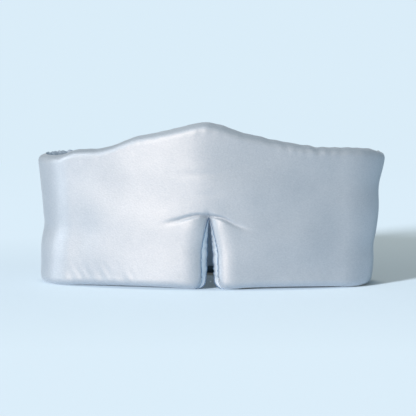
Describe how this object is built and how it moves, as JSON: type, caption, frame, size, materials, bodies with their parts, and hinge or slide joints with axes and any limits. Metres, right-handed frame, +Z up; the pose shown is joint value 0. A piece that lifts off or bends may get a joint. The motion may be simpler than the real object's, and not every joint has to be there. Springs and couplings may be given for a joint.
{
  "type": "sleep eye mask",
  "caption": "Padded wraparound satin sleep mask with a raised forehead edge, a nose slit, gathered elastic sides and a hook-and-loop closure at the back.",
  "frame": {"origin": "on the resting plane, under the middle of the closed loop's bounding box", "axes": "+Z up, +X along the mask's width from the left end to the right end as seen from the front, +Y from the front panel to the back of the head"},
  "size_m": [0.244, 0.08, 0.115],
  "materials": {
    "satin": "silky satin weave with a soft sheen",
    "satin_lining": "satin lining, a shade deeper",
    "binding": "folded satin binding",
    "wadding": "matt lofted fibre",
    "blackout": "matt dense weave",
    "elastic": "ribbed woven elastic",
    "hook": "matt moulded hooks",
    "loop": "brushed loop pile",
    "thread": "polyester thread",
    "label": "printed-satin label stock, left blank"
  },
  "bodies": {
    "front": {"front_cover": "satin", "front_padding": "wadding", "blackout_layer": "blackout", "face_padding": "wadding", "face_lining": "satin_lining", "slit_facing_left": "binding", "slit_facing_right": "binding", "end_seam_left": "binding", "end_seam_right": "binding"},
    "left_side": {"left_sleeve_outer": "satin", "left_sleeve_inner": "satin_lining", "left_side_elastic": "elastic"},
    "right_side": {"right_sleeve_outer": "satin", "right_sleeve_inner": "satin_lining", "right_side_elastic": "elastic"},
    "left_strap": {"left_strap_outer": "satin", "left_strap_core": "elastic", "left_strap_inner": "satin_lining", "left_strap_seam": "binding", "loop_pad": "loop", "loop_pad_stitching": "thread", "care_label": "label"},
    "right_strap": {"right_strap_outer": "satin", "right_strap_core": "elastic", "right_strap_inner": "satin_lining", "right_strap_seam": "binding", "hook_pad": "hook", "hook_pad_stitching": "thread"},
    "finger_pull": {"pull_tip": "binding"}
  },
  "joints": [
    {"name": "right_side_swing", "type": "hinge", "parent": "front", "child": "right_side", "pos_m": [0.12187, 0.00896, 0.0475], "axis": [0, 0, -1], "range_deg": [0, 120]},
    {"name": "left_side_swing", "type": "hinge", "parent": "front", "child": "left_side", "pos_m": [-0.12187, 0.00896, 0.0475], "axis": [0, 0, 1], "range_deg": [0, 60]},
    {"name": "right_elastic_stretch", "type": "slide", "parent": "right_side", "child": "right_strap", "axis": [-1, 0, 0], "range_m": [0, 0.02], "stiffness_N_per_m": 150},
    {"name": "left_elastic_stretch", "type": "slide", "parent": "left_side", "child": "left_strap", "axis": [1, 0, 0], "range_m": [0, 0.02], "stiffness_N_per_m": 150},
    {"name": "finger_pull_lift", "type": "hinge", "parent": "right_strap", "child": "finger_pull", "pos_m": [-0.02615, 0.04, 0.044], "axis": [0, 0, -1], "range_deg": [0, 80], "stiffness_Nm_per_rad": 0.002}
  ],
  "couplings": [
    {"joint": "left_side_swing", "follows": "right_side_swing", "ratio": 0.5}
  ]
}
